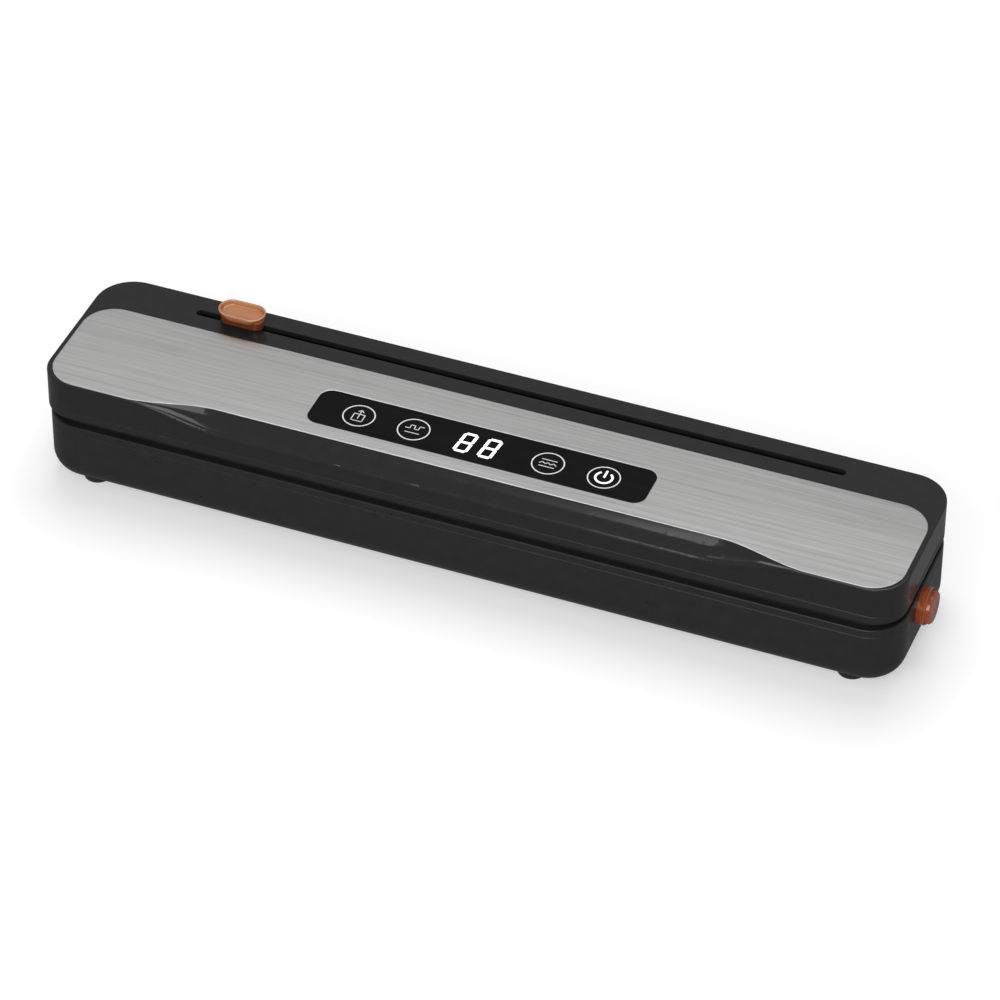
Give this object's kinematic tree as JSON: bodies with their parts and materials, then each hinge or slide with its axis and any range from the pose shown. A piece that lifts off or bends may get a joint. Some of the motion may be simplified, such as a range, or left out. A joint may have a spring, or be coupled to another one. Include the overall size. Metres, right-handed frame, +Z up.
{
  "type": "vacuum sealer",
  "caption": "Slim countertop vacuum sealer: black case, hinged lid with brushed steel inlay and touch panel, sliding roll cutter and end release buttons.",
  "frame": {"origin": "on the floor under the middle of the case, at the centre of its bounding box's bottom face", "axes": "+X along the case to the right end, +Y to the hinge at the back, +Z up; the bag goes in from -Y"},
  "size_m": [0.3916, 0.077, 0.062],
  "materials": {
    "black_gloss": "smooth gloss black moulding",
    "black_satin": "fine satin black moulding",
    "brushed_steel": "brushed along the length",
    "panel_black": "polished black window",
    "display_grey": "matt",
    "circuit_board": "solder-masked board",
    "silicone_grey": "soft silicone",
    "gasket_foam": "closed-cell foam",
    "bright_metal": "bright",
    "screw_steel": "zinc plated",
    "copper_clear": "copper-tinted clear plastic",
    "carriage_plastic": "low-friction plastic",
    "heat_proof_board": "phenolic board",
    "release_tape": "woven glass release tape",
    "pump_plastic": "moulded",
    "hose_silicone": "translucent silicone",
    "transformer_core": "taped winding on a ferrite core",
    "capacitor_sleeve": "shrink sleeve",
    "lead_insulation": "silicone insulation",
    "foot_rubber": "matt rubber"
  },
  "bodies": {
    "base": {"base_deck": "black_satin", "base_screws": "screw_steel", "base_tub": "black_satin", "filter_capacitor": "capacitor_sleeve", "foot_back_left": "foot_rubber", "foot_back_right": "foot_rubber", "foot_front_left": "foot_rubber", "foot_front_right": "foot_rubber", "heater_bar": "heat_proof_board", "heater_lead_left": "lead_insulation", "heater_lead_right": "lead_insulation", "heater_ribbon": "bright_metal", "heater_tape": "release_tape", "hinge_pins": "screw_steel", "inlet_pins": "bright_metal", "inlet_socket": "black_satin", "lid_sensor": "circuit_board", "lower_gasket": "gasket_foam", "power_board": "circuit_board", "pump_cradle": "gasket_foam", "pump_head": "pump_plastic", "pump_motor": "bright_metal", "release_bezel_left": "copper_clear", "release_bezel_right": "copper_clear", "release_spring_left": "screw_steel", "release_spring_right": "screw_steel", "release_valve": "pump_plastic", "suction_nozzle": "carriage_plastic", "transformer": "transformer_core", "vacuum_hose": "hose_silicone", "vacuum_tray": "black_satin", "valve_hose": "hose_silicone", "valve_port": "carriage_plastic"},
    "lid": {"lid_cover": "black_gloss", "lid_frame": "black_satin", "brushed_plate": "brushed_steel", "touch_panel": "panel_black", "display_module": "display_grey", "control_board": "circuit_board", "touch_pad_1": "gasket_foam", "touch_pad_2": "gasket_foam", "touch_pad_3": "gasket_foam", "touch_pad_4": "gasket_foam", "pressure_strip": "silicone_grey", "upper_gasket": "gasket_foam", "lid_magnet": "bright_metal", "lid_screws": "screw_steel", "cutter_rail": "screw_steel", "latch_hook_right": "black_satin", "latch_hook_left": "black_satin"},
    "cutter": {"cutter_knob": "copper_clear", "cutter_carriage": "carriage_plastic", "cutter_blade": "bright_metal"},
    "release_right": {"release_button_right": "copper_clear", "latch_slide_right": "carriage_plastic"},
    "release_left": {"release_button_left": "copper_clear", "latch_slide_left": "carriage_plastic"}
  },
  "joints": [
    {"name": "lid_hinge", "type": "hinge", "parent": "base", "child": "lid", "pos_m": [0, 0.0357, 0.0347], "axis": [-1, 0, 0], "range_deg": [0, 60]},
    {"name": "cutter_slide", "type": "slide", "parent": "lid", "child": "cutter", "axis": [1, 0, 0], "range_m": [-0.0149, 0.2636]},
    {"name": "release_right_press", "type": "slide", "parent": "base", "child": "release_right", "axis": [-1, 0, 0], "range_m": [0, 0.002], "stiffness_N_per_m": 600, "springref_m": -0.003, "deforming": ["release_spring_right"]},
    {"name": "release_left_press", "type": "slide", "parent": "base", "child": "release_left", "axis": [1, 0, 0], "range_m": [0, 0.002], "stiffness_N_per_m": 600, "springref_m": -0.003, "deforming": ["release_spring_left"]}
  ]
}
